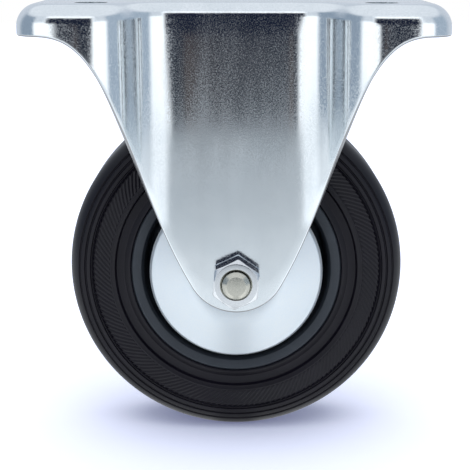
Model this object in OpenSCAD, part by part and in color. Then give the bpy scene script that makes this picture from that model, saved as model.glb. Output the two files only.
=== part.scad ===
// Fixed castor: a one-piece pressed steel fork carries a rubber-tyred wheel
// on a bolt, a spacer tube and a caged roller bearing.
// The origin is the middle of the plate's mounting face. +Z points up out of it,
// +X is the rolling direction and Y runs along the axle, with the nut at -Y.

/* [Wheel] */
// Diameter over the tread
wheel_d = 100; // [90:1:125]
// Width of the tyre across its side walls
tyre_w = 30; // [24:1:34]
// Radius of the rounded shoulder between the tread and each side wall
shoulder_r = 7.5; // [4:0.5:10]
// Diameter of the rim's visible edge, where the tyre's bead begins
bead_d = 62.8; // [58:0.2:68]
// How far the rim's seat stands out under the rubber, beyond the bead
seat_rise = 2.2; // [1:0.1:4]
// Thickness of the rim's ring, bead to inner edge, on the face
rim_ring = 3.5; // [2.5:0.1:5]
// Depth of the key round the seat that stops the tyre creeping sideways
key_rise = 1.4; // [0.8:0.1:2.5]
// Width of that key
key_w = 9; // [6:0.5:14]
// Thickness of the wheel's web
web_t = 5; // [3:0.5:8]
// Ribs on each side of the web
rib_count = 6; // [4:1:10]
// Thickness of one rib
rib_t = 2.6; // [1.6:0.1:4]
// How far the ribs stop below the rim's face
rib_drop = 3.4; // [2:0.1:6]

/* [Tyre face] */
// Depth of the step between the bead and the raised band
bead_step = 0.9; // [0.4:0.1:1.6]
// Radial width of the bead's slope, bead to step
bead_run = 5.6; // [3:0.1:7]
// Depth of the groove at the foot of the bead
bead_groove = 0.8; // [0.3:0.1:1.5]
// Grooves round the shoulder
shoulder_grooves = 3; // [1:1:4]
// Pitch of the shoulder grooves along the radius
groove_pitch = 1.85; // [1.4:0.05:2.4]
// Distance from the tread to the outermost shoulder groove
groove_in = 3.1; // [2.5:0.1:5]
// Depth of one shoulder groove
groove_depth = 0.45; // [0.2:0.05:0.8]
// Width of one shoulder groove
groove_w = 0.6; // [0.3:0.05:1]

/* [Hub and bearing] */
// Length of the wheel's hub
hub_l = 44; // [38:1:50]
// Outside diameter of the hub
hub_d = 26; // [24.5:0.5:30]
// Bore of the hub, the outer race of the rollers
hub_bore = 20; // [18:0.5:22]
// Outside diameter of the spacer tube, the inner race
tube_d = 12; // [11:0.5:14]
// Axial gap between the hub and the guard at each end
hub_gap = 0.5; // [0.3:0.1:1]
// Rollers in the cage
roller_count = 8; // [6:1:8]
// Radial play of a roller between its races, on each side
roller_play = 0.04; // [0.02:0.01:0.08]
// Play of a roller in its cage pocket
pocket_play = 0.15; // [0.1:0.05:0.3]
// Radial play of the cage inside and outside
cage_play = 0.5; // [0.3:0.05:0.7]
// Gap between the cage and the guard at each end
cage_gap = 1.5; // [0.6:0.1:4]
// Length of the cage's solid ring beyond the rollers at each end
cage_ring = 6; // [3:0.5:9]

/* [Axle] */
// Diameter of the axle bolt
bolt_d = 8; // [6:1:10]
// Width across the flats of the bolt head and the nut
hex_af = 13; // [12:0.5:17]
// Height of the bolt head
head_h = 5.3; // [4:0.1:7]
// Height of the nut
nut_h = 6.5; // [5:0.1:8]
// How far the bolt stands out of the nut
bolt_out = 1.8; // [0.5:0.1:5]
// Chamfer at the bolt's end
bolt_chamfer = 0.9; // [0.4:0.1:1.5]
// Diametral clearance of the fork's axle holes
axle_hole_play = 0.4; // [0.2:0.1:0.8]
// Radial clearance of the tube and the nut on the bolt
bolt_play = 0.1; // [0.05:0.01:0.2]
// How far the nut is turned from a corner straight up
nut_turn = 5; // [0:1:59]

/* [Thread guards] */
// Sheet thickness of a guard
guard_t = 1.5; // [1:0.1:2]
// Diameter of a guard
guard_d = 51.4; // [44:0.2:54]
// How far the guard's flat middle reaches past the hub's end
guard_margin = 0.5; // [0.3:0.1:2]
// How far the guard's edge lies behind its middle
guard_dish = 5.6; // [3:0.1:6]
// Length of the lip turned in round the guard's edge
guard_lip = 0.9; // [0.5:0.1:1.5]

/* [Fork] */
// Length of the plate, along the rolling direction
plate_l = 120; // [112:1:140]
// Width of the plate, across the legs
plate_w = 84; // [78:1:96]
// Thickness of the sheet
sheet = 2.5; // [2:0.1:3]
// Gap between the tread and the mounting face
crown_gap = 29.5; // [26:0.5:40]
// Height of the turned-down skirt round the plate
skirt_h = 8.8; // [8.2:0.1:12]
// Outside radius of the bend between the plate and an ear's skirt
bend_r = 5; // [4.5:0.1:6]
// Outside radius of the sharper bend between the plate and a leg's panel
panel_bend_r = 4; // [3.6:0.1:5]
// Outside radius of the fuller bend at the plate's ends
end_bend_r = 6.5; // [5:0.1:7]
// Radius of the plate's corners, seen from above
corner_r = 10; // [8:0.5:12]
// Half width of a leg's flat panel, where the sheet starts to turn outwards
panel_half = 17; // [15.5:0.5:18.5]
// Length over which the sheet turns out from the panel to the ear
joggle_run = 24; // [21:0.5:26]
// Radius of the leg's lower end
tip_r = 14.8; // [14.2:0.1:16]
// How far the leg reaches below the axle
tip_below = 9.9; // [9.2:0.1:10.5]
// Angle of the leg's edge from the vertical where it leaves the end's curve
flare_angle = 30; // [26:1:33]
// Half width between the points where the legs' edges run out into the skirt
lip_half = 53; // [48:0.5:54]
// Reach of the curve's lower handle, as a share of the leg's height
flare_reach = 0.6; // [0.5:0.01:0.75]
// Reach of the curve's upper handle along the skirt
lip_reach = 21.5; // [16:0.5:24]

/* [Fixing holes] */
// Spacing of the fixing holes along the plate
hole_x = 80; // [78:1:88]
// Spacing of the fixing holes across the plate
hole_y = 60; // [52:1:62]
// Diameter of the fixing holes
hole_d = 9; // [7:0.5:9]

/* [Hidden] */
$fn = 96;
// Overlap that lets a cutter run past a face
past = 1;
// Chords across half a panel, one arc of the turn-out, an ear, a corner and the bend
panel_steps = 12;
joggle_steps = 9;
ear_steps = 5;
corner_steps = 7;
bend_steps = 5;

axle_drop = wheel_d / 2 + crown_gap;
tube_l = hub_l + 2 * hub_gap;
leg_in = tube_l / 2 + guard_t;
leg_out = leg_in + sheet;
ear_out = plate_w / 2;
bolt_r = bolt_d / 2;
hex_r = hex_af / sqrt(3);
bore_r = hub_bore / 2;
tube_r = tube_d / 2;
cage_l = tube_l - 2 * cage_gap;
roller_l = cage_l - 2 * cage_ring;
roller_path = (bore_r + tube_r) / 2;
roller_r = (bore_r - tube_r) / 2 - roller_play;
face_y = tyre_w / 2;
bead_r = bead_d / 2;
seat_r = bead_r + seat_rise;
ring_r = bead_r - rim_ring;
tread_r = wheel_d / 2;

// The turn-out is two equal arcs, one hollow and one round, that meet half way.
joggle_step = ear_out - leg_out;
joggle_turn = 2 * atan(joggle_step / joggle_run);
joggle_r = joggle_run / (2 * sin(joggle_turn));

// Puts what follows on the axle, with its own Z along +Y.
module on_axle() {
    translate([0, 0, -axle_drop])
        rotate([-90, 0, 0])
            children();
}

// One station of the plate's outline seen from above: a point on the outer skin,
// the direction square to the skin there and the bend's radius, for +X and +Y.
function station(point, outwards, bend) = [point, outwards, bend];

// Stations of the quarter, from the middle of a leg's panel round to the end:
// flat panel, hollow arc, round arc, ear, corner.
function quarter_stations() =
    let (
        ear_end = plate_l / 2 - corner_r,
        hollow = [panel_half, leg_out + joggle_r],
        round = [panel_half + joggle_run, ear_out - joggle_r],
        corner = [ear_end, ear_out - corner_r]
    )
    concat(
        [for (i = [0 : panel_steps])
            station([panel_half * i / panel_steps, leg_out], [0, 1], panel_bend_r)],
        [for (i = [1 : joggle_steps])
            let (a = joggle_turn * i / joggle_steps, n = [-sin(a), cos(a)])
            station(hollow - joggle_r * n, n, blend(panel_bend_r, bend_r, i / joggle_steps / 2))],
        [for (i = [joggle_steps - 1 : -1 : 0])
            let (a = joggle_turn * i / joggle_steps, n = [-sin(a), cos(a)])
            station(round + joggle_r * n, n, blend(bend_r, panel_bend_r, i / joggle_steps / 2))],
        [for (i = [1 : ear_steps])
            station([blend(round.x, ear_end, i / ear_steps), ear_out], [0, 1], bend_r)],
        [for (i = [1 : corner_steps])
            let (a = 90 * (1 - i / corner_steps), n = [cos(a), sin(a)])
            station(corner + corner_r * n, n, blend(bend_r, end_bend_r, i / corner_steps))]
    );

function blend(from, to, share) = from + (to - from) * share;

// The quarter's stations mirrored round the whole plate, clockwise from above.
function all_stations(q) =
    let (last = len(q) - 1)
    concat(
        q,
        [for (i = [last : -1 : 0]) mirrored(q[i], [1, -1])],
        [for (i = [1 : last]) mirrored(q[i], [-1, -1])],
        [for (i = [last : -1 : 1]) mirrored(q[i], [-1, 1])]
    );

function mirrored(s, flip) =
    [[s[0].x * flip.x, s[0].y * flip.y], [s[1].x * flip.x, s[1].y * flip.y], s[2]];

// A cubic curve between two ends, each with its handle.
function curve_point(p, t) =
    pow(1 - t, 3) * p[0] + 3 * t * pow(1 - t, 2) * p[1]
        + 3 * t * t * (1 - t) * p[2] + t * t * t * p[3];

// Ends and handles of a leg's edge seen from the side: it leaves the end's arc
// at the flare angle and runs out level into the skirt.
function flare_curve() =
    let (
        tip_z = -axle_drop - tip_below + tip_r,
        foot = [tip_r * cos(flare_angle), tip_z - tip_r * sin(flare_angle)],
        top = [lip_half, -skirt_h],
        reach = flare_reach * (top.y - foot.y)
    )
    [foot, foot + reach * [sin(flare_angle), cos(flare_angle)], top - [lip_reach, 0], top];

// Where on the flare curve a distance from the middle is reached, by halving.
function flare_at(p, x, low = 0, high = 1, left = 24) =
    let (mid = (low + high) / 2)
    left == 0
        ? mid
        : curve_point(p, mid).x < x
            ? flare_at(p, x, mid, high, left - 1)
            : flare_at(p, x, low, mid, left - 1);

// Level of the sheared edge at a distance from the middle: round end, flare, skirt.
function edge_z(p, x) =
    x >= p[3].x
        ? -skirt_h
        : x <= p[0].x
            ? -axle_drop - tip_below + tip_r - sqrt(tip_r * tip_r - x * x)
            : curve_point(p, flare_at(p, x)).y;

// One column of the shell: up the outer skin and over the bend to the plate's top,
// then back under the plate and down the inner skin.
function column(s, p) =
    concat(
        [on_edge(s, p, 0)],
        [for (i = [0 : bend_steps]) over_bend(s, s[2], 90 * i / bend_steps)],
        [for (i = [bend_steps : -1 : 0]) over_bend(s, s[2] - sheet, 90 * i / bend_steps)],
        [on_edge(s, p, sheet)]
    );

function on_edge(s, p, inset) =
    let (q = s[0] - inset * s[1])
    [q.x, q.y, edge_z(p, abs(q.x))];

function over_bend(s, r, a) =
    let (q = s[0] - (s[2] - r * cos(a)) * s[1])
    [q.x, q.y, -s[2] + r * sin(a)];

// The pressing in one piece: plate, bend, skirt, turn-outs and both legs.
module pressing() {
    quarter = quarter_stations();
    stations = all_stations(quarter);
    curve = flare_curve();
    n = len(quarter);
    total = len(stations);
    rows = 2 * bend_steps + 4;
    top_row = bend_steps + 1;
    under_row = bend_steps + 2;
    points = [for (s = stations) each column(s, curve)];
    skin = [
        for (c = [0 : total - 1], r = [0 : rows - 1])
            let (d = (c + 1) % total, u = (r + 1) % rows)
            if (r != top_row)
                each [
                    [c * rows + r, d * rows + r, d * rows + u],
                    [c * rows + r, d * rows + u, c * rows + u]
                ]
    ];
    // The plate's faces are strips from front to back between like stations.
    strips = [
        for (i = [0 : n - 2])
            each [
                [i, i + 1, 2 * n - 2 - i, 2 * n - 1 - i],
                [2 * n - 1 + i, 2 * n + i, 4 * n - 3 - i, (4 * n - 2 - i) % total]
            ]
    ];
    top = [for (s = strips) [for (i = [0 : 3]) s[i] * rows + top_row]];
    under = [for (s = strips) [for (i = [3 : -1 : 0]) s[i] * rows + under_row]];
    polyhedron(points, concat(skin, top, under));
}

module fork() {
    color("lightsteelblue")
        difference() {
            pressing();
            on_axle()
                cylinder(d = bolt_d + axle_hole_play, h = plate_w, center = true);
            for (sx = [-1, 1], sy = [-1, 1])
                translate([sx * hole_x / 2, sy * hole_y / 2, -sheet - past])
                    cylinder(d = hole_d, h = sheet + 2 * past);
        }
}

// Hexagon with its corners chamfered by a cone at both ends.
module hex_body(height) {
    intersection() {
        rotate([0, 0, 30])
            cylinder(r = hex_r, h = height, $fn = 6);
        rotate_extrude()
            polygon([
                [0, 0],
                [hex_af / 2, 0],
                [hex_r, (hex_r - hex_af / 2) * tan(30)],
                [hex_r, height - (hex_r - hex_af / 2) * tan(30)],
                [hex_af / 2, height],
                [0, height]
            ]);
    }
}

module axle_bolt() {
    end_y = -(leg_out + nut_h + bolt_out);
    color("silver")
        on_axle() {
            translate([0, 0, leg_out])
                hex_body(head_h);
            rotate_extrude()
                polygon([
                    [0, end_y],
                    [bolt_r - bolt_chamfer, end_y],
                    [bolt_r, end_y + bolt_chamfer],
                    [bolt_r, leg_out + past],
                    [0, leg_out + past]
                ]);
        }
}

module axle_nut() {
    color("gainsboro")
        on_axle()
            translate([0, 0, -leg_out - nut_h])
                rotate([0, 0, 30 + nut_turn])
                    difference() {
                        hex_body(nut_h);
                        translate([0, 0, -past])
                            cylinder(r = bolt_r + bolt_play, h = nut_h + 2 * past);
                    }
}

module axle_tube() {
    color("dimgray")
        on_axle()
            difference() {
                cylinder(d = tube_d, h = tube_l, center = true);
                cylinder(r = bolt_r + bolt_play, h = tube_l + 2 * past, center = true);
            }
}

// Dished disc, turned from its section: flat middle, conical skirt and a lip
// turned in towards the wheel. Its outer face lies on the leg at +Y.
module thread_guard() {
    flat_r = hub_d / 2 + guard_margin;
    edge_r = guard_d / 2;
    lean = atan(guard_dish / (edge_r - guard_t - flat_r));
    rise = guard_t / cos(lean);
    rotate_extrude()
        polygon([
            [bolt_r + bolt_play, leg_in - guard_t],
            [bolt_r + bolt_play, leg_in],
            [flat_r, leg_in],
            [edge_r - guard_t, leg_in - guard_dish],
            [edge_r, leg_in - guard_dish - guard_t * 0.6],
            [edge_r, leg_in - guard_dish - guard_t * 0.6 - guard_lip],
            [edge_r - guard_t, leg_in - guard_dish - guard_t * 0.6 - guard_lip],
            [edge_r - guard_t, leg_in - guard_dish - rise],
            [flat_r, leg_in - guard_t]
        ]);
}

module thread_guard_front() {
    color("white")
        on_axle()
            mirror([0, 0, 1])
                thread_guard();
}

module thread_guard_back() {
    color("white")
        on_axle()
            thread_guard();
}

// Rim, web and hub as one turned section, with the ribs added on both sides.
module wheel_core() {
    web_in = hub_d / 2;
    web_out = ring_r - 0.6;
    inner_face = face_y - 2.4;
    color("slategray")
        on_axle()
            difference() {
                union() {
                    rotate_extrude()
                        polygon([
                            [0, -hub_l / 2],
                            [web_in, -hub_l / 2],
                            [web_in + 0.8, -web_t / 2],
                            [web_out, -web_t / 2],
                            [ring_r, -inner_face],
                            [bead_r, -face_y],
                            [bead_r, -face_y + 3],
                            [seat_r, -face_y + 4],
                            [seat_r, -key_w / 2],
                            [seat_r + key_rise, -key_w / 2 + 1],
                            [seat_r + key_rise, key_w / 2 - 1],
                            [seat_r, key_w / 2],
                            [seat_r, face_y - 4],
                            [bead_r, face_y - 3],
                            [bead_r, face_y],
                            [ring_r, inner_face],
                            [web_out, web_t / 2],
                            [web_in + 0.8, web_t / 2],
                            [web_in, hub_l / 2],
                            [0, hub_l / 2]
                        ]);
                    for (i = [0 : rib_count - 1])
                        rotate([0, 0, (i + 0.5) * 360 / rib_count])
                            translate([(web_in + web_out) / 2, 0, 0])
                                cube([web_out - web_in + 1, rib_t, 2 * (face_y - rib_drop)], center = true);
                }
                cylinder(r = bore_r, h = hub_l + 2 * past, center = true);
            }
}

// Distance along the axle of the tyre's skin at a radius on the rounded shoulder.
function shoulder_y(r) =
    r <= tread_r - shoulder_r
        ? face_y
        : face_y - shoulder_r + sqrt(pow(shoulder_r, 2) - pow(r - tread_r + shoulder_r, 2));

// Half of the tyre's section, from the middle of the tread to one bead.
module tyre_half_section() {
    step_r = bead_r + bead_run;
    difference() {
        union() {
            translate([seat_r, 0])
                square([tread_r - seat_r, face_y - shoulder_r]);
            polygon([
                [seat_r, 0],
                [tread_r - shoulder_r, 0],
                [tread_r - shoulder_r, face_y],
                [step_r, face_y],
                [step_r - bead_step, face_y - bead_step],
                [bead_r + 0.9, face_y - bead_step - bead_groove],
                [bead_r, face_y - bead_step],
                [bead_r, face_y - 3],
                [seat_r, face_y - 4]
            ]);
            translate([tread_r - shoulder_r, face_y - shoulder_r])
                intersection() {
                    circle(shoulder_r);
                    square(shoulder_r + past);
                }
        }
        polygon([
            [seat_r - past, 0],
            [seat_r + key_rise, 0],
            [seat_r + key_rise, key_w / 2 - 1],
            [seat_r, key_w / 2],
            [seat_r - past, key_w / 2]
        ]);
        for (i = [0 : shoulder_grooves - 1]) {
            r = tread_r - groove_in - i * groove_pitch;
            translate([r, shoulder_y(r)])
                square([groove_w, 2 * groove_depth], center = true);
        }
    }
}

module tyre() {
    color("#26242c")
        on_axle()
            rotate_extrude($fn = 128)
                for (side = [0, 1])
                    mirror([0, side])
                        tyre_half_section();
}

module roller_cage() {
    color("khaki")
        on_axle()
            difference() {
                cylinder(r = bore_r - cage_play, h = cage_l, center = true);
                cylinder(r = tube_r + cage_play, h = cage_l + 2 * past, center = true);
                for (i = [0 : roller_count - 1])
                    rotate([0, 0, i * 360 / roller_count])
                        translate([roller_path, 0, 0])
                            cylinder(r = roller_r + pocket_play, h = roller_l + 2 * pocket_play, center = true);
            }
}

// One roller of the ring, numbered from 1, in its pocket of the cage.
module roller(number) {
    color("lightgray")
        on_axle()
            rotate([0, 0, (number - 1) * 360 / roller_count])
                translate([roller_path, 0, 0])
                    cylinder(r = roller_r, h = roller_l, center = true);
}

fork();
axle_bolt();
axle_nut();
axle_tube();
thread_guard_front();
thread_guard_back();
wheel_core();
tyre();
roller_cage();
roller(1);  // roller_1
roller(2);  // roller_2
roller(3);  // roller_3
roller(4);  // roller_4
roller(5);  // roller_5
roller(6);  // roller_6
roller(7);  // roller_7
roller(8);  // roller_8
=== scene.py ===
"""Fixed castor: a pressed steel fork, its bolted axle and a rubber-tyred wheel.

Everything is in metres in the CAD frame. The sizes below repeat those of the
CAD source in millimetres, because this script reads nothing but the frame.
"""
import math
import random

import bmesh
import bpy
from mathutils import Matrix, Vector


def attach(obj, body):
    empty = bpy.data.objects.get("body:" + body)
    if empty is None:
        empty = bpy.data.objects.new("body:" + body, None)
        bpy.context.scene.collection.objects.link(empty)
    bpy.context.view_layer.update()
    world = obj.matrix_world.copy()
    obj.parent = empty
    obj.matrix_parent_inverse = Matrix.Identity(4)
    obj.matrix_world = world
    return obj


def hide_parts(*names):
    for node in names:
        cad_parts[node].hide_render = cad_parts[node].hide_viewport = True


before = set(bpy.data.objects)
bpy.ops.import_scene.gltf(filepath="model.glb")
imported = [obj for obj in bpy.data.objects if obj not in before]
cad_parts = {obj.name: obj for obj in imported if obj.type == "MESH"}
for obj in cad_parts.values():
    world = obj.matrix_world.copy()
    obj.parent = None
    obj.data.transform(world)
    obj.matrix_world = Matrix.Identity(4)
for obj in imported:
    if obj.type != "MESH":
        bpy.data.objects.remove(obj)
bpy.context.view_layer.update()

MM = 0.001
AXLE_Z = -79.5
FLOOR_Z = -129.5
TAU = 2 * math.pi

# Fork sizes
PLATE_L, PLATE_W, SHEET = 120.0, 84.0, 2.5
SKIRT_H, CORNER_R = 8.8, 10.0
LEG_OUT, EAR_OUT = 26.5, 42.0
PANEL_HALF, JOGGLE_RUN = 17.0, 24.0
TIP_R, TIP_BELOW, FLARE = 14.8, 9.9, math.radians(30)
LIP_HALF, FLARE_REACH, LIP_REACH = 53.0, 0.6, 21.5
LEAN = 0.0083
PANEL_BEND, EAR_BEND, END_BEND = 4.0, 5.0, 6.5
HOLE_X, HOLE_Y, HOLE_D, AXLE_HOLE_D = 80.0, 60.0, 9.0, 8.4


# ---------------------------------------------------------------- mesh helpers
def new_object(name, verts, faces, sharp=40.0):
    """A smooth-shaded object from points in millimetres."""
    mesh = bpy.data.meshes.new(name)
    mesh.from_pydata([tuple(c * MM for c in v) for v in verts], [], faces)
    mesh.validate()
    obj = bpy.data.objects.new(name, mesh)
    bpy.context.scene.collection.objects.link(obj)
    finish_mesh(obj, sharp)
    return obj


def finish_mesh(obj, sharp=40.0):
    """Merges doubled points, turns the faces outwards and marks sharp edges."""
    bm = bmesh.new()
    bm.from_mesh(obj.data)
    bmesh.ops.remove_doubles(bm, verts=bm.verts, dist=1e-7)
    bmesh.ops.recalc_face_normals(bm, faces=bm.faces)
    bm.to_mesh(obj.data)
    bm.free()
    obj.data.shade_smooth()
    obj.data.set_sharp_from_angle(angle=math.radians(sharp))


def lathe(name, profile, segs=256, y_sign=1, sharp=40.0):
    """Turns a closed profile of (radius, along the axle) round the axle."""
    verts, faces, rings = [], [], []
    for r, y in profile:
        if r < 1e-6:
            rings.append([len(verts)])
            verts.append((0.0, y_sign * y, AXLE_Z))
            continue
        ring = []
        for i in range(segs):
            a = TAU * i / segs
            ring.append(len(verts))
            verts.append((r * math.sin(a), y_sign * y, AXLE_Z + r * math.cos(a)))
        rings.append(ring)
    count = len(rings)
    for k in range(count):
        a, b = rings[k], rings[(k + 1) % count]
        if len(a) == 1 and len(b) == 1:
            continue
        for i in range(segs):
            j = (i + 1) % segs
            if len(a) == 1:
                faces.append((a[0], b[i], b[j]))
            elif len(b) == 1:
                faces.append((a[i], a[j], b[0]))
            else:
                faces.append((a[i], a[j], b[j], b[i]))
    return new_object(name, verts, faces, sharp)


def rounded(points, radius, steps=4, closed=True):
    """The same polygon with every corner rounded by a radius, or less if short."""
    out = []
    n = len(points)
    for i, p in enumerate(points):
        p = Vector(p[:2] + (0,)) if len(p) == 2 else Vector((p[0], p[1], 0))
        want = points[i][2] if len(points[i]) > 2 else radius
        if want <= 0 or (not closed and i in (0, n - 1)):
            out.append((p.x, p.y))
            continue
        a = Vector((points[i - 1][0], points[i - 1][1], 0)) - p
        b = Vector((points[(i + 1) % n][0], points[(i + 1) % n][1], 0)) - p
        la, lb = a.length, b.length
        angle = a.angle(b)
        if angle > math.radians(176):
            out.append((p.x, p.y))
            continue
        cut = min(want / math.tan(angle / 2), la * 0.45, lb * 0.45)
        start, end = p + a / la * cut, p + b / lb * cut
        for k in range(steps + 1):
            t = k / steps
            q = start * (1 - t) ** 2 + p * 2 * t * (1 - t) + end * t * t
            out.append((q.x, q.y))
    return out


def cut_with(obj, cutters):
    """Cuts closed meshes out of an object and keeps the result as its mesh."""
    for cutter in cutters:
        mod = obj.modifiers.new("cut", "BOOLEAN")
        mod.operation = "DIFFERENCE"
        mod.solver = "EXACT"
        mod.object = cutter
    deps = bpy.context.evaluated_depsgraph_get()
    mesh = bpy.data.meshes.new_from_object(obj.evaluated_get(deps))
    obj.modifiers.clear()
    obj.data = mesh
    for cutter in cutters:
        bpy.data.objects.remove(cutter, do_unlink=True)


def rod(name, radius, start, end, segs=96):
    """A plain closed cylinder between two points, used as a cutter."""
    start, end = Vector(start), Vector(end)
    axis = (end - start).normalized()
    side = axis.orthogonal().normalized()
    up = axis.cross(side)
    verts, faces = [], []
    for p in (start, end):
        for i in range(segs):
            a = TAU * i / segs
            verts.append(tuple(p + radius * (side * math.cos(a) + up * math.sin(a))))
    for i in range(segs):
        j = (i + 1) % segs
        faces.append((i, j, segs + j, segs + i))
    faces.append(tuple(range(segs)))
    faces.append(tuple(reversed(range(segs, 2 * segs))))
    return new_object(name, verts, faces)


# ---------------------------------------------------------------- fork
STEP = EAR_OUT - LEG_OUT
TURN = 2 * math.atan(STEP / JOGGLE_RUN)
JOGGLE_R = JOGGLE_RUN / (2 * math.sin(TURN))
JOGGLE_END = PANEL_HALF + JOGGLE_RUN
EAR_END = PLATE_L / 2 - CORNER_R
END_RUN = 2.2
RUNS = [PANEL_HALF, JOGGLE_R * TURN, JOGGLE_R * TURN, EAR_END - JOGGLE_END, CORNER_R * math.pi / 2, END_RUN]
ENDS = [sum(RUNS[: i + 1]) for i in range(len(RUNS))]


def raw_heading(s):
    """Heading of the outer skin, in radians from +X towards +Y."""
    if s <= ENDS[0] or ENDS[2] < s <= ENDS[3]:
        return 0.0
    if s <= ENDS[1]:
        return (s - ENDS[0]) / JOGGLE_R
    if s <= ENDS[2]:
        return (ENDS[2] - s) / JOGGLE_R
    return -min((s - ENDS[3]) / CORNER_R, math.pi / 2)


def eased_headings(step=0.05, width=8.2):
    """The heading averaged over a short run, so that the curvature eases in."""
    count = int(round(ENDS[5] / step))
    raw = [raw_heading(step * (i + 0.5)) for i in range(count)]
    reach = int(width / step / 2)

    def at(i):
        if i < 0:
            return -raw[-i - 1] if raw[-i - 1] else 0.0
        if i >= count:
            return -math.pi / 2
        return raw[i]

    sums = [0.0]
    for i in range(-reach - 1, count + reach + 2):
        sums.append(sums[-1] + at(i))
    out = []
    for i in range(count):
        a, b = i, i + 2 * reach + 1
        out.append((sums[b + 1] - sums[a + 1]) / (b - a))
    return out, step


HEADINGS, SKIN_STEP = eased_headings()
SKIN_POINTS = [(0.0, LEG_OUT)]
for heading in HEADINGS:
    last_x, last_y = SKIN_POINTS[-1]
    SKIN_POINTS.append((last_x + SKIN_STEP * math.cos(heading), last_y + SKIN_STEP * math.sin(heading)))
FIT_X = (PLATE_L / 2) / SKIN_POINTS[-1][0]


def skin(s):
    """Point and outward direction of the outer skin, a distance along the quarter."""
    i = min(int(s / SKIN_STEP), len(HEADINGS) - 1)
    t = s / SKIN_STEP - i
    a, b = SKIN_POINTS[i], SKIN_POINTS[i + 1]
    h0 = (HEADINGS[max(i - 1, 0)] + HEADINGS[i]) / 2 if i else 0.0
    h1 = (HEADINGS[i] + HEADINGS[min(i + 1, len(HEADINGS) - 1)]) / 2
    if i == len(HEADINGS) - 1:
        h1 = -math.pi / 2
    h = h0 + (h1 - h0) * t
    return ((a[0] + (b[0] - a[0]) * t) * FIT_X, a[1] + (b[1] - a[1]) * t), (-math.sin(h), math.cos(h))


TIP_Z = AXLE_Z - TIP_BELOW + TIP_R
FOOT = (TIP_R * math.cos(FLARE), TIP_Z - TIP_R * math.sin(FLARE))
REACH = FLARE_REACH * (-SKIRT_H - FOOT[1])
CURVE = [
    FOOT,
    (FOOT[0] + REACH * math.sin(FLARE), FOOT[1] + REACH * math.cos(FLARE)),
    (LIP_HALF - LIP_REACH, -SKIRT_H),
    (LIP_HALF, -SKIRT_H),
]


def on_curve(t):
    w = ((1 - t) ** 3, 3 * t * (1 - t) ** 2, 3 * t * t * (1 - t), t ** 3)
    return tuple(sum(w[k] * CURVE[k][c] for k in range(4)) for c in (0, 1))


def edge_z(x):
    """Level of the sheared edge at a distance from the middle of a leg."""
    x = abs(x)
    if x >= LIP_HALF:
        return -SKIRT_H
    if x <= FOOT[0]:
        return TIP_Z - math.sqrt(max(TIP_R ** 2 - x * x, 0.0))
    low, high = 0.0, 1.0
    for _ in range(40):
        mid = (low + high) / 2
        if on_curve(mid)[0] < x:
            low = mid
        else:
            high = mid
    return on_curve(low)[1]


def smooth(t):
    t = min(max(t, 0.0), 1.0)
    return t * t * (3 - 2 * t)


def bend_at(s):
    """Outside bend radius between plate and skirt, a distance along the quarter."""
    if s <= ENDS[2]:
        return PANEL_BEND + (EAR_BEND - PANEL_BEND) * smooth((s - ENDS[0]) / (ENDS[2] - ENDS[0]))
    return EAR_BEND + (END_BEND - EAR_BEND) * smooth((s - ENDS[3] + 3) / (ENDS[4] - ENDS[3] + 3))


def fork_stations():
    counts = [40, 48, 48, 12, 28, 1]
    stops, start = [], 0.0
    for run, count in zip(RUNS, counts):
        stops += [start + run * i / count for i in range(count)]
        start += run
    stops.append(start)
    return stops


def edge_level(s, inset):
    """Level of the sheared edge at a depth in the sheet, on the curve seen from the front."""
    (x, _), n = skin(s)
    return edge_z(x - n[0] * (SHEET + inset) / 2)


def edge_slope(s):
    """Direction square to the sheared edge, within the skin: (along, up)."""
    d = 0.02
    a, b = max(s - d, 0.0), min(s + d, ENDS[5])
    rise = (edge_level(b, 0.0) - edge_level(a, 0.0)) / (b - a)
    length = math.hypot(rise, 1.0)
    return -rise / length, 1.0 / length


def fork_column(s):
    """Points of one column of the shell, as (distance along, inset, level)."""
    bend = bend_at(s)
    along, up = edge_slope(s)
    out = []

    def edge_row(distance, inset):
        out.append((s + along * distance, inset, edge_level(s, inset) + up * distance))

    top = -bend
    for distance, inset in ((0.28, SHEET), (0.08, SHEET - 0.08), (0.0, SHEET - 0.28)):
        edge_row(distance, inset)
    for k in range(5):
        a = math.pi / 2 * k / 4
        edge_row(0.55 * (1 - math.cos(a)), 0.55 * (1 - math.sin(a)))
    wall = 14
    base = (s + along * 0.55, edge_level(s, 0.0) + up * 0.55)
    for k in range(1, wall + 1):
        t = k / wall
        out.append((base[0] + (s - base[0]) * t, 0.0, base[1] + (top - base[1]) * t))
    for k in range(1, 13):
        a = math.pi / 2 * k / 12
        out.append((s, bend * (1 - math.cos(a)), top + bend * math.sin(a)))
    out.append((s, bend + 0.4, 0.0))
    out.append((s, bend + 0.4, -SHEET))
    inner = bend - SHEET
    for k in range(12, -1, -1):
        a = math.pi / 2 * k / 12
        out.append((s, bend - inner * math.cos(a), top + inner * math.sin(a)))
    base = (s + along * 0.28, edge_level(s, SHEET) + up * 0.28)
    for k in range(wall - 1, 0, -1):
        t = k / wall
        out.append((base[0] + (s - base[0]) * t, SHEET, base[1] + (top - base[1]) * t))
    return out


def place(s, inset, z):
    """A point of the quarter shell in the frame, for the quarter at +X and +Y."""
    sign = 1.0
    if s < 0:
        s, sign = -s, -1.0
    (x, y), n = skin(min(s, ENDS[5]))
    return (sign * (x - inset * n[0]), y - inset * n[1], z)


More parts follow.
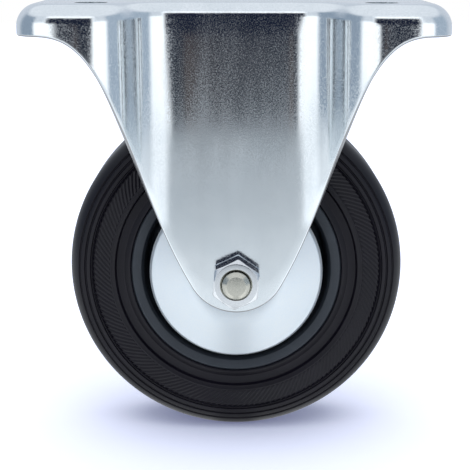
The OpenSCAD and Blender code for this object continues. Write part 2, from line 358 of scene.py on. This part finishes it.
def build_fork():
    stops = fork_stations()
    quarter = [[place(*row) for row in fork_column(s)] for s in stops]
    last = len(quarter) - 1
    rows = len(quarter[0])

    def flip(column, sx, sy):
        return [(p[0] * sx, p[1] * sy, p[2]) for p in column]

    columns = [c for c in quarter]
    columns += [flip(quarter[i], 1, -1) for i in range(last, -1, -1)]
    columns += [flip(quarter[i], -1, -1) for i in range(1, last + 1)]
    columns += [flip(quarter[i], -1, 1) for i in range(last, 0, -1)]
    total = len(columns)
    verts = [p for column in columns for p in column]
    top_row = max(k for k in range(rows) if abs(quarter[0][k][2]) < 1e-9)
    faces = []
    for c in range(total):
        d = (c + 1) % total
        for r in range(rows):
            if r == top_row:
                continue
            u = (r + 1) % rows
            faces.append((c * rows + r, d * rows + r, d * rows + u, c * rows + u))
    n = last + 1
    corner = stops.index(min(stops, key=lambda v: abs(v - ENDS[3])))
    loops = [tuple(range(corner, 2 * n - corner)), tuple(range(2 * n - 1 + corner, 4 * n - 1 - corner))]
    for i in range(corner):
        loops.append((i, i + 1, 2 * n - 2 - i, 2 * n - 1 - i))
        loops.append((2 * n - 1 + i, 2 * n + i, 4 * n - 3 - i, (4 * n - 2 - i) % total))
    for loop in loops:
        faces.append(tuple(c * rows + top_row for c in loop))
        faces.append(tuple(c * rows + top_row + 1 for c in reversed(loop)))
    verts = [(x - LEAN * (z - AXLE_Z), y, z) for x, y, z in verts]
    obj = new_object("fork_pressing", verts, faces, 45)
    cutters = []
    for sx in (-1, 1):
        for sy in (-1, 1):
            x, y = sx * HOLE_X / 2, sy * HOLE_Y / 2
            cutters.append(rod("cut_hole", HOLE_D / 2, (x, y, -8), (x, y, 4)))
    cutters.append(rod("cut_axle", AXLE_HOLE_D / 2, (0, -60, AXLE_Z), (0, 60, AXLE_Z)))
    cut_with(obj, cutters)
    finish_mesh(obj, 45)
    return obj


# ---------------------------------------------------------------- fasteners
def hex_piece(name, af, y0, y1, bore=0.0, turn=0.0, washer=True):
    """A hexagon round the axle from y0, on the leg, to y1, with its corners
    chamfered at the outer end and the bore countersunk."""
    out = 1 if y1 > y0 else -1
    height = abs(y1 - y0)
    flat = af / 2
    segs = 180
    chamfer_r = flat * 0.955
    rows = []

    def row(radius, h, hexagon=False):
        rows.append((radius, h, hexagon))

    if bore:
        row(bore + 0.75, 0.0)
        row(bore, 0.75)
        row(bore, height - 0.8)
        row(bore + 0.55, height - 0.05)
        row(bore + 0.66, height)
    else:
        row(0.0, height)
        row(flat * 0.5, height)
    row(chamfer_r - 0.25, height)
    row(chamfer_r, height - 0.03)
    verts, faces = [], []
    for radius, h, _ in rows:
        for i in range(segs):
            a = TAU * i / segs
            verts.append((radius, h, a))
    for level in range(8):
        for i in range(segs):
            a = TAU * i / segs
            local = (a % (TAU / 6)) - TAU / 12
            side = flat / math.cos(local)
            side = min(side, flat / math.cos(TAU / 12) - 0.12)
            if level == 0:
                radius = chamfer_r + (side - chamfer_r) * 0.55
                h = height - 0.03 - (radius - chamfer_r) * math.tan(math.radians(30))
            elif level == 1:
                radius = side - 0.06
                h = height - 0.05 - (side - chamfer_r) * math.tan(math.radians(30))
            elif level == 2:
                radius = side
                h = height - 0.14 - (side - chamfer_r) * math.tan(math.radians(30))
            elif level == 3:
                radius, h = side, height * 0.5
            elif level == 4:
                radius = side
                h = 0.3 + (side - flat) * math.tan(math.radians(30))
            elif level == 5:
                radius = side - 0.15
                h = 0.12 + (side - flat) * math.tan(math.radians(30))
            elif level == 6:
                radius, h = flat * 0.97, 0.0
            else:
                radius, h = (bore + 0.75 if bore else 0.0), 0.0
            verts.append((radius, h, a))
    count = len(verts) // segs
    last = count - 1 if bore else count
    for k in range(last if bore else count - 1):
        n = (k + 1) % count
        if bore and k == count - 1:
            break
        for i in range(segs):
            j = (i + 1) % segs
            faces.append((k * segs + i, k * segs + j, n * segs + j, n * segs + i))
    placed = []
    for radius, h, a in verts:
        b = a + math.radians(turn)
        placed.append((radius * math.sin(b), y0 + out * h, AXLE_Z + radius * math.cos(b)))
    return new_object(name, placed, faces, 22)


def bolt_piece(name):
    """The bolt without its head: a plain shank from +Y and a threaded, chamfered end."""
    r = 4.0
    end = -(LEG_OUT + 6.5 + 1.8)
    profile = [(0.0, LEG_OUT + 1.0), (r, LEG_OUT + 1.0)]
    thread_from = -(LEG_OUT - 4.0)
    profile.append((r, thread_from))
    y = thread_from
    pitch = 1.25
    while y - pitch > end + 1.25:
        profile += [(r - 0.12, y - 0.1), (r - 0.62, y - pitch * 0.45), (r - 0.62, y - pitch * 0.58), (r, y - pitch * 0.92)]
        profile.append((r, y - pitch))
        y -= pitch
    profile += [(r, end + 1.2), (r - 0.1, end + 1.0), (r - 0.35, end + 0.75), (r - 1.05, end + 0.12)]
    profile += [(r - 1.2, end + 0.02), (r - 1.35, end), (0.0, end)]
    return lathe(name, profile, 128, sharp=24)


# ---------------------------------------------------------------- wheel
BEAD_R, SEAT_R, RING_R = 31.4, 33.6, 27.9
FACE_Y, TREAD_R, SHOULDER_R = 15.0, 50.0, 7.5


def tyre_profile():
    """Section of the tyre from bead to bead, over both faces and the tread."""
    face = [(BEAD_R + 0.02, FACE_Y - 1.2, 0.3), (BEAD_R + 0.5, FACE_Y - 0.75, 0.3)]
    face += [(BEAD_R + 2.2, FACE_Y - 1.9, 0.6), (BEAD_R + 4.4, FACE_Y - 1.9, 0.35)]
    face += [(BEAD_R + 4.9, FACE_Y - 0.7, 0.35), (37.5, FACE_Y - 0.25, 0.5)]
    face += [(37.9, FACE_Y - 0.45, 0.1), (42.7, FACE_Y - 0.45, 0.1)]

    def shoulder(r):
        inner = TREAD_R - SHOULDER_R
        if r <= inner:
            return FACE_Y
        return FACE_Y - SHOULDER_R + math.sqrt(max(SHOULDER_R ** 2 - (r - inner) ** 2, 0.0))

    r = 42.9
    face.append((42.95, FACE_Y - 0.02, 0.2))
    grooves = (43.35, 45.1, 46.9)
    for g in grooves:
        before, after = g - 0.38, g + 0.38
        face.append((before, shoulder(before), 0.15))
        face.append((g - 0.1, shoulder(g) - 0.5, 0.1))
        face.append((g + 0.1, shoulder(g) - 0.5, 0.1))
        face.append((after, shoulder(after), 0.15))
        if g != grooves[-1]:
            mid = g + 0.88
            face.append((mid, shoulder(mid), 0))
    for k in range(1, 14):
        a = math.radians(38 + (90 - 38) * k / 13)
        face.append((TREAD_R - SHOULDER_R + SHOULDER_R * math.sin(a), FACE_Y - SHOULDER_R + SHOULDER_R * math.cos(a), 0))
    mirrored = [(p[0], -p[1], p[2]) for p in reversed(face)]
    inner = [(SEAT_R, -FACE_Y + 4, 0.2), (SEAT_R, FACE_Y - 4, 0.2), (BEAD_R + 0.02, FACE_Y - 3, 0.2)]
    close = [(BEAD_R + 0.02, -FACE_Y + 3, 0.2)]
    return rounded(face + mirrored + close + inner, 0.2, 4)


def build_tyre():
    return lathe("tyre_rubber", tyre_profile(), 300, sharp=35)


def build_knurl(name, y_sign):
    """The ring of fine slanted ribs on a side wall."""
    segs, ribs = 1280, 160
    r0, r1 = 37.75, 42.75
    rows, slant = 11, 0.027
    base = FACE_Y - 0.42
    verts, faces = [], []
    for k in range(rows):
        t = k / (rows - 1)
        r = r0 + (r1 - r0) * t
        fade = smooth(t / 0.12) * smooth((1 - t) / 0.12)
        for i in range(segs):
            wave = 0.5 + 0.5 * math.cos(ribs * TAU * i / segs)
            y = base + fade * 0.20 * wave
            a = TAU * i / segs - y_sign * slant * (r - r0)
            verts.append((r * math.sin(a), y_sign * y, AXLE_Z + r * math.cos(a)))
    for r in (r1, r0):
        for i in range(segs):
            a = TAU * i / segs - y_sign * slant * (r - r0)
            verts.append((r * math.sin(a), y_sign * (base - 0.6), AXLE_Z + r * math.cos(a)))
    count = rows + 2
    for k in range(count):
        n = (k + 1) % count
        for i in range(segs):
            j = (i + 1) % segs
            faces.append((k * segs + i, k * segs + j, n * segs + j, n * segs + i))
    return new_object(name, verts, faces, 80)


def build_rim():
    """Rim, web and hub in one turned section."""
    half = [
        (10.0, 22.0, 0.4), (13.0, 22.0, 0.5), (13.8, 2.5, 1.5), (26.9, 2.5, 1.5), (RING_R - 0.2, FACE_Y - 2.6, 0.3),
        (RING_R + 0.5, FACE_Y - 1.55, 0.35), (BEAD_R - 0.5, FACE_Y - 1.05, 0.35), (BEAD_R, FACE_Y - 1.5, 0.2),
        (BEAD_R, FACE_Y - 3, 0.2), (SEAT_R, FACE_Y - 4, 0.2),
    ]
    points = half + [(p[0], -p[1], p[2]) for p in reversed(half)]
    rim = lathe("rim_plastic", rounded(points, 0.3, 4), 256, sharp=35)
    return rim


def build_ribs():
    """The ribs that stiffen the web, on both faces."""
    verts, faces = [], []
    for side in (-1, 1):
        for i in range(6):
            a = TAU * (i + 0.5) / 6
            out = (math.sin(a), math.cos(a))
            across = (math.cos(a), -math.sin(a))
            start = len(verts)
            for r, top in ((13.2, 6.0), (26.2, 6.0)):
                for w, y in ((-1.3, 2.0), (1.3, 2.0), (1.0, top), (-1.0, top)):
                    x = out[0] * r + across[0] * w
                    z = out[1] * r + across[1] * w
                    verts.append((x, side * y, AXLE_Z + z))
            for k in range(4):
                n = (k + 1) % 4
                faces.append((start + k, start + n, start + 4 + n, start + 4 + k))
            faces.append((start + 3, start + 2, start + 1, start))
            faces.append((start + 4, start + 5, start + 6, start + 7))
    return new_object("rim_ribs", verts, faces, 30)


GUARD_OUT, GUARD_T, GUARD_R, GUARD_FLAT, GUARD_DISH = 24.0, 1.5, 25.7, 13.5, 5.6


def build_guard(name, y_sign):
    """A dished disc: flat middle, gently curved cone and a rolled edge."""
    top, edge = GUARD_OUT, GUARD_OUT - GUARD_DISH
    lean = math.atan(GUARD_DISH / (GUARD_R - GUARD_T - GUARD_FLAT))
    outer = [(4.1, top, 0), (GUARD_FLAT, top, 9.0), (GUARD_R - 0.7, edge, 0.9), (GUARD_R, edge - 1.5, 0.5)]
    outer += [(GUARD_R, edge - 1.8, 0.2), (GUARD_R - 0.25, edge - 1.8, 0.1), (GUARD_R - GUARD_T, edge - 1.8, 0.3)]
    rise = GUARD_T / math.cos(lean)
    inner = [(GUARD_R - GUARD_T, edge - rise, 0.6), (GUARD_FLAT, top - GUARD_T, 9.0), (4.1, top - GUARD_T, 0)]
    return lathe(name, rounded(outer + inner, 0.3, 8), 256, y_sign, sharp=40)


# ---------------------------------------------------------------- materials
def material(name):
    mat = bpy.data.materials.new(name)
    mat.use_nodes = True
    nodes, links = mat.node_tree.nodes, mat.node_tree.links
    shader = nodes["Principled BSDF"]
    return mat, nodes, links, shader


def noise(nodes, links, vector, scale, detail=4.0, rough=0.5, name="noise"):
    node = nodes.new("ShaderNodeTexNoise")
    node.inputs["Scale"].default_value = scale
    node.inputs["Detail"].default_value = detail
    node.inputs["Roughness"].default_value = rough
    links.new(vector, node.inputs["Vector"])
    return node.outputs["Fac"]


def stretched(nodes, links, vector, scale):
    mapping = nodes.new("ShaderNodeMapping")
    mapping.inputs["Scale"].default_value = scale
    links.new(vector, mapping.inputs["Vector"])
    return mapping.outputs["Vector"]


def math_node(nodes, links, operation, a, b):
    node = nodes.new("ShaderNodeMath")
    node.operation = operation
    for socket, value in zip(node.inputs, (a, b)):
        if hasattr(value, "is_linked"):
            links.new(value, socket)
        else:
            socket.default_value = value
    return node.outputs[0]


def ramp_between(nodes, links, factor, low, high, a=0.3, b=0.7):
    ramp = nodes.new("ShaderNodeValToRGB")
    ramp.color_ramp.elements[0].position = a
    ramp.color_ramp.elements[1].position = b
    ramp.color_ramp.elements[0].color = (*low, 1)
    ramp.color_ramp.elements[1].color = (*high, 1)
    links.new(factor, ramp.inputs["Fac"])
    return ramp.outputs["Color"]


def range_node(nodes, links, value, a, b, c, d):
    node = nodes.new("ShaderNodeMapRange")
    links.new(value, node.inputs["Value"])
    for key, v in zip(("From Min", "From Max", "To Min", "To Max"), (a, b, c, d)):
        node.inputs[key].default_value = v
    return node.outputs["Result"]


def zinc(name, low, high, rough_low, rough_high, grain=0.05, metal=1.0, sheared=False):
    """Zinc-plated steel: bluish, with a fine mottled grain in colour and gloss.

    With sheared set, every face that points down is darker and duller: the cut edges are duller in fact, and the
    plate's underside and inner bends get painted shade."""
    mat, nodes, links, shader = material(name)
    coords = nodes.new("ShaderNodeTexCoord").outputs["Object"]
    fine = noise(nodes, links, coords, 2600, 2, 0.7)
    broad = noise(nodes, links, coords, 90, 4, 0.6)
    drawn = noise(nodes, links, stretched(nodes, links, coords, (1, 1, 0.12)), 130, 3, 0.55)
    both = math_node(nodes, links, "MULTIPLY", fine, 0.6)
    both = math_node(nodes, links, "ADD", both, math_node(nodes, links, "MULTIPLY", broad, 0.4))
    colour = ramp_between(nodes, links, both, low, high, 0.35, 0.65)
    gloss = math_node(nodes, links, "MULTIPLY", fine, 0.72)
    gloss = math_node(nodes, links, "ADD", gloss, math_node(nodes, links, "MULTIPLY", drawn, 0.28))
    rough = range_node(nodes, links, gloss, 0.44, 0.62, rough_low, rough_high)
    if sheared:
        split = nodes.new("ShaderNodeSeparateXYZ")
        links.new(nodes.new("ShaderNodeTexCoord").outputs["Normal"], split.inputs[0])
        # cut covers every face that points down: the real, duller cut edges, and also the plate's underside and
        # inner bends, which get painted shade.
        cut = range_node(nodes, links, split.outputs[2], -0.35, -0.15, 1.0, 0.0)
        darker = nodes.new("ShaderNodeMix")
        darker.data_type = "RGBA"
        links.new(cut, darker.inputs[0])
        links.new(colour, darker.inputs[6])
        darker.inputs[7].default_value = (0.36, 0.36, 0.37, 1)
        colour = darker.outputs[2]
        rough = math_node(nodes, links, "ADD", rough, math_node(nodes, links, "MULTIPLY", cut, 0.25))
    links.new(colour, shader.inputs["Base Color"])
    links.new(rough, shader.inputs["Roughness"])
    shader.inputs["Metallic"].default_value = metal
    bump = nodes.new("ShaderNodeBump")
    bump.inputs["Strength"].default_value = grain
    bump.inputs["Distance"].default_value = 0.0001
    links.new(fine, bump.inputs["Height"])
    links.new(bump.outputs["Normal"], shader.inputs["Normal"])
    return mat


def rubber(name):
    mat, nodes, links, shader = material(name)
    coords = nodes.new("ShaderNodeTexCoord").outputs["Object"]
    broad = noise(nodes, links, coords, 60, 5, 0.6)
    fine = noise(nodes, links, coords, 2200, 3, 0.6)
    links.new(ramp_between(nodes, links, broad, (0.0026, 0.0018, 0.0064), (0.0050, 0.0036, 0.0098)), shader.inputs["Base Color"])
    links.new(range_node(nodes, links, fine, 0.3, 0.7, 0.34, 0.46), shader.inputs["Roughness"])
    shader.inputs["Specular IOR Level"].default_value = 0.31
    bump = nodes.new("ShaderNodeBump")
    bump.inputs["Strength"].default_value = 0.10
    bump.inputs["Distance"].default_value = 0.0001
    links.new(fine, bump.inputs["Height"])
    links.new(bump.outputs["Normal"], shader.inputs["Normal"])
    return mat


def plastic(name, low, high, rough, fine_scale=1400):
    mat, nodes, links, shader = material(name)
    coords = nodes.new("ShaderNodeTexCoord").outputs["Object"]
    broad = noise(nodes, links, coords, 120, 4, 0.6)
    fine = noise(nodes, links, coords, fine_scale, 3, 0.6)
    links.new(ramp_between(nodes, links, broad, low, high), shader.inputs["Base Color"])
    links.new(range_node(nodes, links, fine, 0.3, 0.7, rough - 0.05, rough + 0.07), shader.inputs["Roughness"])
    bump = nodes.new("ShaderNodeBump")
    bump.inputs["Strength"].default_value = 0.1
    bump.inputs["Distance"].default_value = 0.0001
    links.new(fine, bump.inputs["Height"])
    links.new(bump.outputs["Normal"], shader.inputs["Normal"])
    return mat


# The fork's downward faces are darkened: dull cut edges, and painted shade under the plate and in its inner bends.
FORK_MAT = zinc("zinc_fork", (0.72, 0.77, 0.80), (0.85, 0.885, 0.905), 0.085, 0.25, 0.03, sheared=True)
GUARD_MAT = zinc("zinc_guard", (0.86, 0.935, 1.0), (0.92, 0.97, 1.0), 0.32, 0.40, 0.05, 0.45)
NUT_MAT = zinc("zinc_nut", (0.66, 0.68, 0.70), (0.82, 0.84, 0.86), 0.12, 0.20, 0.05)
BOLT_MAT = zinc("zinc_bolt", (0.50, 0.49, 0.43), (0.66, 0.65, 0.58), 0.22, 0.38, 0.10)
STEEL_MAT = zinc("steel_bearing", (0.45, 0.45, 0.46), (0.62, 0.62, 0.63), 0.2, 0.35, 0.05)
RUBBER_MAT = rubber("rubber_tyre")
RIM_MAT = plastic("plastic_rim", (0.034, 0.042, 0.055), (0.046, 0.055, 0.070), 0.46)
CAGE_MAT = plastic("plastic_cage", (0.45, 0.40, 0.28), (0.55, 0.50, 0.36), 0.45)


def dress(obj, mat):
    obj.data.materials.clear()
    obj.data.materials.append(mat)
    return obj


def dress_node(name, mat):
    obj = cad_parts[name]
    if not obj.data.materials:
        obj.data.materials.append(mat)
    for i in range(len(obj.data.materials)):
        obj.data.materials[i] = mat


# ---------------------------------------------------------------- build
fork = dress(build_fork(), FORK_MAT)
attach(fork, "fork")
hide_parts("fork")

nut = dress(hex_piece("nut", 13.0, -LEG_OUT, -LEG_OUT - 6.5, bore=4.05, turn=5.0), NUT_MAT)
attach(nut, "fork")
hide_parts("axle_nut")

bolt = dress(bolt_piece("bolt_shank"), BOLT_MAT)
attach(bolt, "fork")
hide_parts("axle_bolt")
head = dress(hex_piece("bolt_head", 13.0, LEG_OUT, LEG_OUT + 5.3, turn=0.0), NUT_MAT)
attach(head, "fork")

for label, node, sign in (("guard_front", "thread_guard_front", -1), ("guard_back", "thread_guard_back", 1)):
    guard = dress(build_guard(label, sign), GUARD_MAT)
    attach(guard, "fork")
    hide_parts(node)

tyre = dress(build_tyre(), RUBBER_MAT)
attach(tyre, "wheel")
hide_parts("tyre")
for label, sign in (("knurl_front", -1), ("knurl_back", 1)):
    knurl = dress(build_knurl(label, sign), RUBBER_MAT)
    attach(knurl, "wheel")

rim = dress(build_rim(), RIM_MAT)
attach(rim, "wheel")
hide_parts("wheel_core")
ribs = dress(build_ribs(), RIM_MAT)
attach(ribs, "wheel")

dress_node("axle_tube", STEEL_MAT)
dress_node("roller_cage", CAGE_MAT)
for number in range(1, 9):
    dress_node("roller_%d" % number, STEEL_MAT)


# ---------------------------------------------------------------- floor, light, camera
def build_floor():
    front, back, side = -0.72, 2.2, 0.66
    z = FLOOR_Z * MM
    mesh = bpy.data.meshes.new("floor")
    mesh.from_pydata([(-side, front, z), (side, front, z), (side, back, z), (-side, back, z)], [], [(0, 1, 2, 3)])
    obj = bpy.data.objects.new("floor", mesh)
    bpy.context.scene.collection.objects.link(obj)
    mat, nodes, links, shader = material("floor_white")
    shader.inputs["Base Color"].default_value = (0.68, 0.70, 0.70, 1)
    shader.inputs["Roughness"].default_value = 0.9
    shader.inputs["Specular IOR Level"].default_value = 0.1
    # Painted shadow: the floor's glow, seen by the camera alone, is dimmed by ambient occlusion round the castor.
    glow = nodes.new("ShaderNodeEmission")
    glow.inputs["Color"].default_value = (0.82, 0.84, 1.0, 1)
    near = nodes.new("ShaderNodeAmbientOcclusion")
    near.samples = 16
    near.inputs["Distance"].default_value = 0.11
    links.new(range_node(nodes, links, near.outputs["AO"], 0.35, 1.0, 0.17, 0.90), glow.inputs["Strength"])
    path = nodes.new("ShaderNodeLightPath")
    dark = nodes.new("ShaderNodeEmission")
    dark.inputs["Strength"].default_value = 0.0
    pick = nodes.new("ShaderNodeMixShader")
    links.new(path.outputs["Is Camera Ray"], pick.inputs[0])
    links.new(dark.outputs[0], pick.inputs[1])
    links.new(glow.outputs[0], pick.inputs[2])
    # Painted reflection: to glossy rays alone the floor glows white beside the castor's front and close in front of
    # it.
    place_of = nodes.new("ShaderNodeSeparateXYZ")
    links.new(nodes.new("ShaderNodeTexCoord").outputs["Object"], place_of.inputs[0])
    aside = math_node(nodes, links, "ABSOLUTE", place_of.outputs[0], 0.0)
    ahead = math_node(nodes, links, "MAXIMUM", math_node(nodes, links, "MULTIPLY", place_of.outputs[1], -1.0), 0.02)
    ratio = math_node(nodes, links, "DIVIDE", aside, ahead)
    side = range_node(nodes, links, ratio, 0.20, 0.42, 0.0, 0.45)
    side = math_node(nodes, links, "MULTIPLY", side, range_node(nodes, links, ratio, 1.0, 2.0, 1.0, 0.0))
    side = math_node(nodes, links, "ADD", side, range_node(nodes, links, ahead, 0.16, 0.40, 0.42, 0.0))
    white = nodes.new("ShaderNodeEmission")
    white.inputs["Color"].default_value = (0.96, 0.98, 1.0, 1)
    links.new(math_node(nodes, links, "MULTIPLY", side, path.outputs["Is Glossy Ray"]), white.inputs["Strength"])
    tint = nodes.new("ShaderNodeEmission")
    tint.inputs["Color"].default_value = (0.08, 0.16, 1.0, 1)
    links.new(math_node(nodes, links, "MULTIPLY", path.outputs["Is Camera Ray"], 0.10), tint.inputs["Strength"])
    cool = nodes.new("ShaderNodeAddShader")
    links.new(pick.outputs[0], cool.inputs[0])
    links.new(tint.outputs[0], cool.inputs[1])
    both = nodes.new("ShaderNodeAddShader")
    links.new(cool.outputs[0], both.inputs[0])
    links.new(white.outputs[0], both.inputs[1])
    add = nodes.new("ShaderNodeAddShader")
    links.new(shader.outputs[0], add.inputs[0])
    links.new(both.outputs[0], add.inputs[1])
    links.new(add.outputs[0], nodes["Material Output"].inputs["Surface"])
    mesh.materials.append(mat)
    return obj


def build_world():
    """White panels to both sides and above, and the darker room in front."""
    world = bpy.data.worlds.new("studio")
    bpy.context.scene.world = world
    world.use_nodes = True
    nodes, links = world.node_tree.nodes, world.node_tree.links
    background = nodes["Background"]
    coords = nodes.new("ShaderNodeTexCoord").outputs["Generated"]
    split = nodes.new("ShaderNodeSeparateXYZ")
    links.new(coords, split.inputs[0])
    x, y, z = split.outputs
    back = math_node(nodes, links, "MULTIPLY", y, -1.0)
    azimuth = math_node(nodes, links, "ARCTAN2", x, back)
    spread = math_node(nodes, links, "ABSOLUTE", azimuth, 0.0)
    lift = math_node(nodes, links, "ARCSINE", z, 0.0)

    def band(value, a, b):
        node = nodes.new("ShaderNodeMapRange")
        node.interpolation_type = "SMOOTHSTEP"
        links.new(value, node.inputs["Value"])
        node.inputs["From Min"].default_value = math.radians(a)
        node.inputs["From Max"].default_value = math.radians(b)
        return node.outputs["Result"]

    east = band(azimuth, -5, 5)
    angles = [math.radians(v) for v in (-3, 3, -3, 9)]
    raised_west = range_node(nodes, links, lift, *angles)
    angles = [math.radians(v) for v in (-7.5, -3.5, -5, 6)]
    raised_east = range_node(nodes, links, lift, *angles)
    extra = math_node(nodes, links, "SUBTRACT", raised_east, raised_west)
    raised = math_node(nodes, links, "ADD", raised_west, math_node(nodes, links, "MULTIPLY", extra, east))
    sides = band(math_node(nodes, links, "SUBTRACT", spread, raised), 11, 19)
    above = band(lift, 24, 32)
    lit = math_node(nodes, links, "MAXIMUM", sides, above)
    far = band(spread, 50, 64)
    behind = band(spread, 100, 130)
    high = band(lift, 28, 38)
    top = band(lift, 34, 44)
    grey = math_node(nodes, links, "SUBTRACT", far, high)
    nodes[-1].use_clamp = True

    def mix(factor, a, b):
        node = nodes.new("ShaderNodeMix")
        node.data_type = "RGBA"
        links.new(factor, node.inputs[0])
        for socket, value in ((node.inputs[6], a), (node.inputs[7], b)):
            if isinstance(value, tuple):
                socket.default_value = (*value, 1)
            else:
                links.new(value, socket)
        return node.outputs[2]

    low = math_node(nodes, links, "SUBTRACT", 1.0, band(lift, 2, 12))
    front = math_node(nodes, links, "SUBTRACT", 1.0, band(spread, 20, 32))
    strong = math_node(nodes, links, "MAXIMUM", low, front)
    bright = mix(strong, (0.74, 0.79, 0.86), (1.38, 1.41, 1.45))
    bright = mix(grey, bright, mix(east, (0.30, 0.37, 0.46), (0.42, 0.50, 0.60)))
    bright = mix(top, mix(behind, bright, (0.64, 0.69, 0.77)), (0.86, 0.90, 0.96))
    right = band(azimuth, 1.7, 2.3)
    middle = math_node(nodes, links, "SUBTRACT", band(azimuth, -2.0, -1.4), band(azimuth, -0.4, 0.2))
    outer = math_node(nodes, links, "SUBTRACT", 1.0, band(azimuth, -5.5, -4.5))
    dim = math_node(nodes, links, "MAXIMUM", math_node(nodes, links, "MAXIMUM", right, middle), outer)
    left = math_node(nodes, links, "SUBTRACT", 1.0, band(azimuth, -2.2, -1.2))
    room = mix(left, (0.085, 0.090, 0.104), (0.150, 0.120, 0.108))
    room = mix(dim, room, (0.028, 0.034, 0.048))
    room = mix(band(lift, -3.9, -3.4), room, (0.012, 0.016, 0.034))
    colour = mix(lit, room, bright)
    path = nodes.new("ShaderNodeLightPath")
    shown = mix(path.outputs["Is Camera Ray"], colour, (1.0, 1.0, 1.0))
    links.new(shown, background.inputs["Color"])
    background.inputs["Strength"].default_value = 1.0


def build_camera():
    data = bpy.data.cameras.new("camera")
    data.sensor_fit = "HORIZONTAL"
    data.sensor_width = 36.0
    data.lens = 36.0 * 1326.06 / 470
    data.shift_x = -1.15 / 470
    data.clip_start = 0.01
    data.dof.use_dof = False
    obj = bpy.data.objects.new("camera", data)
    bpy.context.scene.collection.objects.link(obj)
    tilt = Matrix.Rotation(math.pi / 2 - 0.21323, 4, "X")
    roll = Matrix.Rotation(0.00107, 4, "Z")
    obj.matrix_world = Matrix.Translation((0.0, -0.400, 0.01473)) @ tilt @ roll
    bpy.context.scene.camera = obj


build_floor()
build_world()
build_camera()
bpy.context.scene.view_settings.view_transform = "Standard"

random.seed(4)
